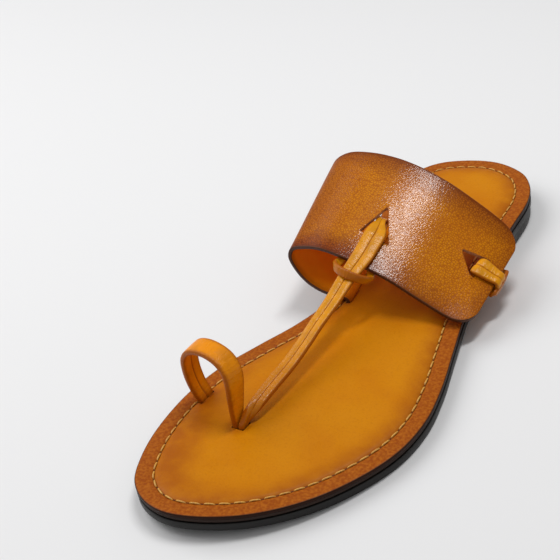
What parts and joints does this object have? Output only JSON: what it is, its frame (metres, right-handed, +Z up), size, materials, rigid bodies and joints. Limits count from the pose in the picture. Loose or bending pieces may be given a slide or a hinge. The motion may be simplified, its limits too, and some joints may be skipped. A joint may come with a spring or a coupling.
{
  "type": "leather slide sandal",
  "caption": "Flat leather slide for the left foot with a wide instep band, a big-toe loop and lace thongs hitched through V slits in the band.",
  "frame": {"origin": "middle of the sandal's floor area, on the floor that the sole stands on", "axes": "+X towards the little-toe side, +Y from the toe to the heel, +Z up from the floor"},
  "size_m": [0.0992, 0.255, 0.05],
  "materials": {
    "rubber_sole": "satin black rubber",
    "sole_board": "dark dyed board edge",
    "footbed_leather": "smooth tan leather, satin",
    "band_leather": "pebbled amber leather, glossy",
    "loop_leather": "fine tan leather, satin",
    "lace_leather": "smooth golden leather, glossy"
  },
  "bodies": {
    "root": {"outsole": "rubber_sole", "insole_board": "sole_board", "footbed": "footbed_leather", "instep_band": "band_leather", "toe_loop": "loop_leather", "toe_thong": "lace_leather", "side_thong": "lace_leather"}
  },
  "joints": []
}
